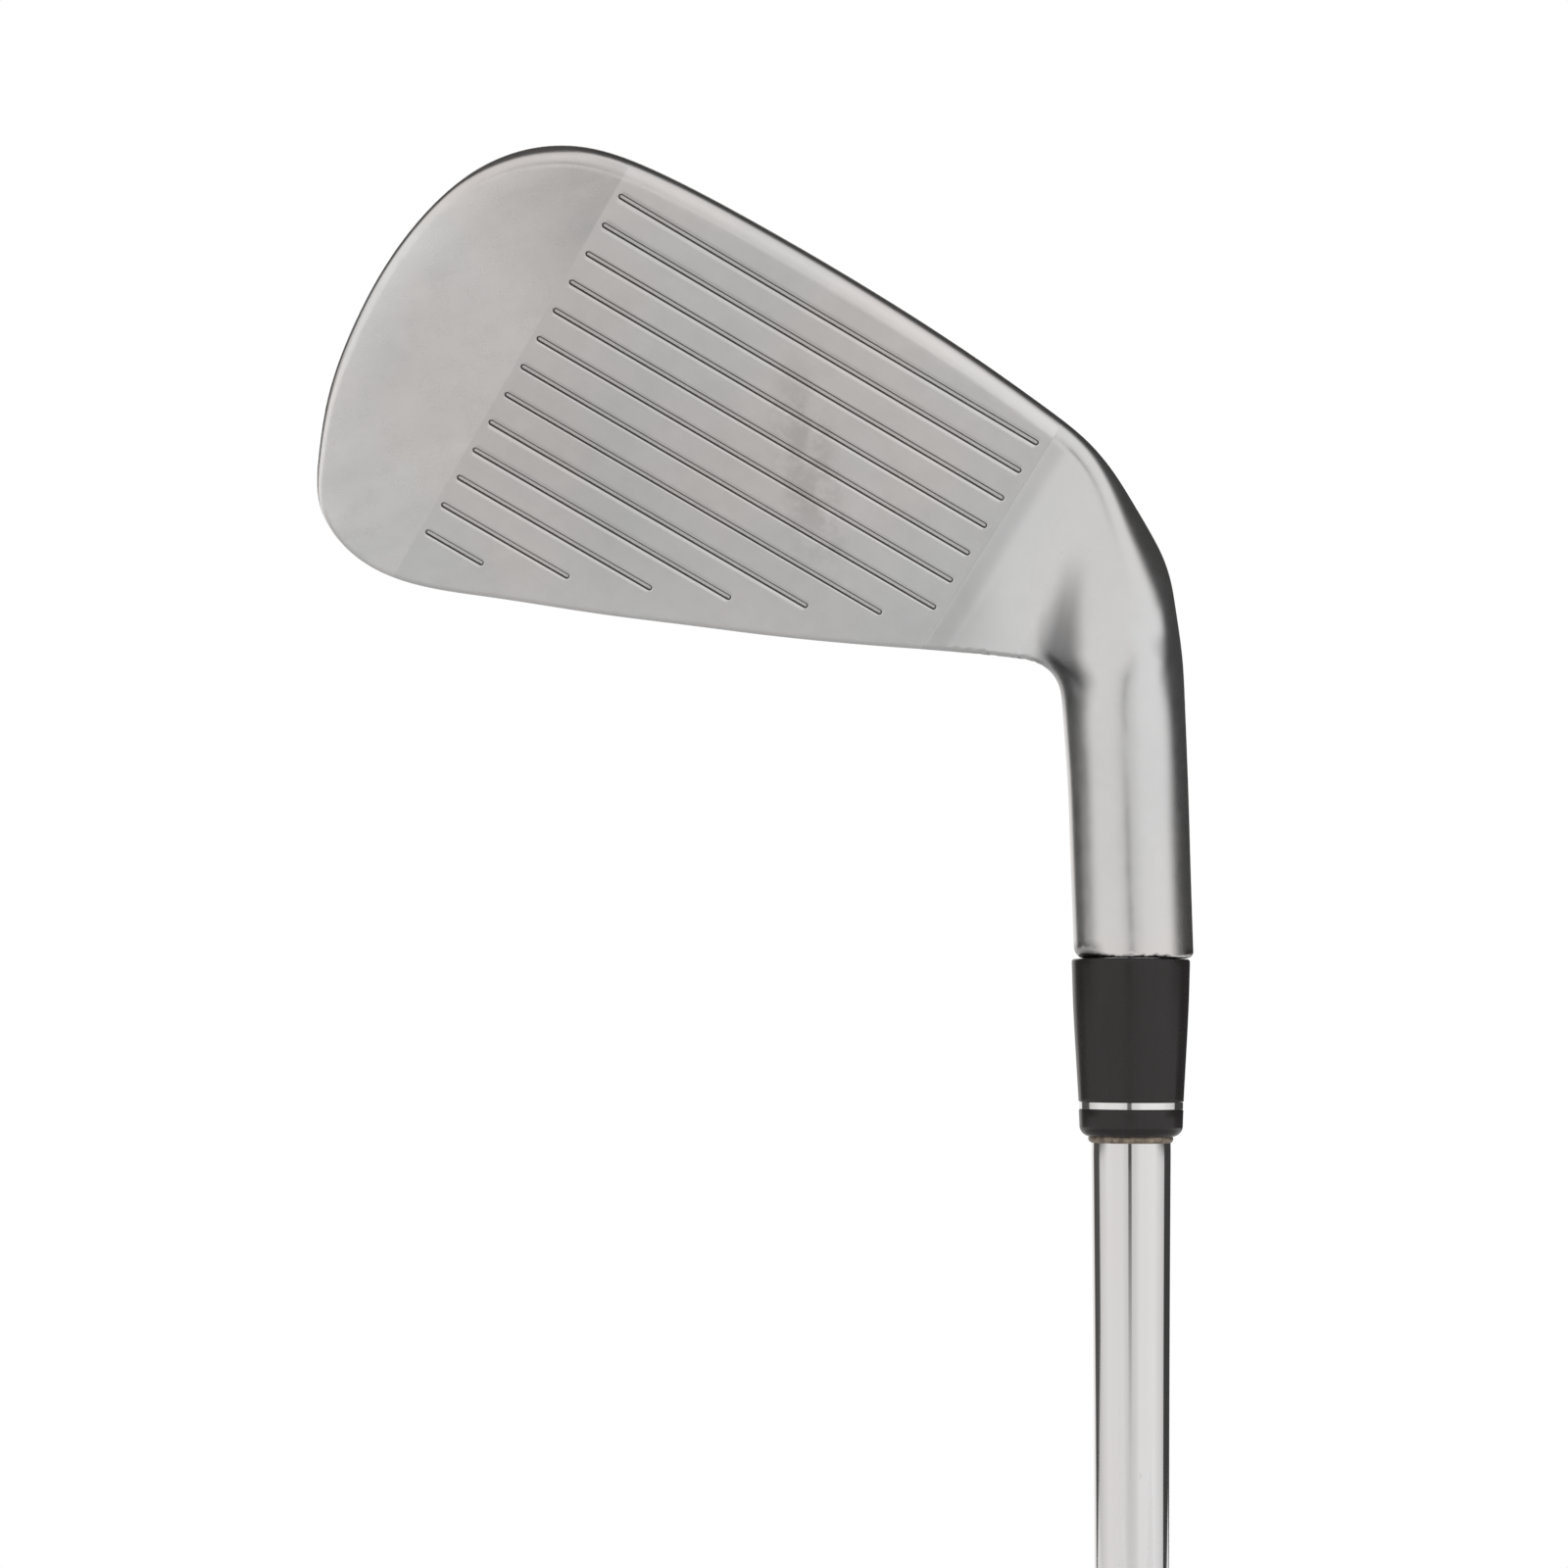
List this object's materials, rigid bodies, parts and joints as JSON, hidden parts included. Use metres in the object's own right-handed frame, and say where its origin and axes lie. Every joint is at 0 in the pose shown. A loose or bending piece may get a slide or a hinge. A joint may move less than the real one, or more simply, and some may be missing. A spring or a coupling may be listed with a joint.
{
  "type": "iron golf club",
  "caption": "Left-handed long iron with a cavity-back steel head, grooved face, black ferrule, stepped chrome steel shaft and rubber grip",
  "frame": {"origin": "centre of the flat butt face of the grip, on the shaft axis, where the vent hole opens", "axes": "+Z runs along the shaft axis from the grip to the head, -X points to the toe and -Y is the target direction the face looks to"},
  "size_m": [0.1061, 0.0395, 1.0089],
  "materials": {
    "head_steel": "satin, fine blasted",
    "badge": "fine matte texture",
    "adhesive_film": "matte",
    "epoxy": "cured glue",
    "ferrule_plastic": "polished black",
    "bright_ring": "polished",
    "shaft_chrome": "polished chrome plate",
    "plug_brass": "turned",
    "tape": "matte",
    "grip_rubber": "matte, textured"
  },
  "bodies": {
    "root": {"club_head": "head_steel", "cavity_badge": "badge", "badge_adhesive": "adhesive_film", "hosel_epoxy": "epoxy", "ferrule": "ferrule_plastic", "ferrule_ring": "bright_ring", "epoxy_bead": "epoxy", "shaft": "shaft_chrome", "swing_weight_plug": "plug_brass", "grip_tape": "tape", "grip": "grip_rubber"}
  },
  "joints": []
}
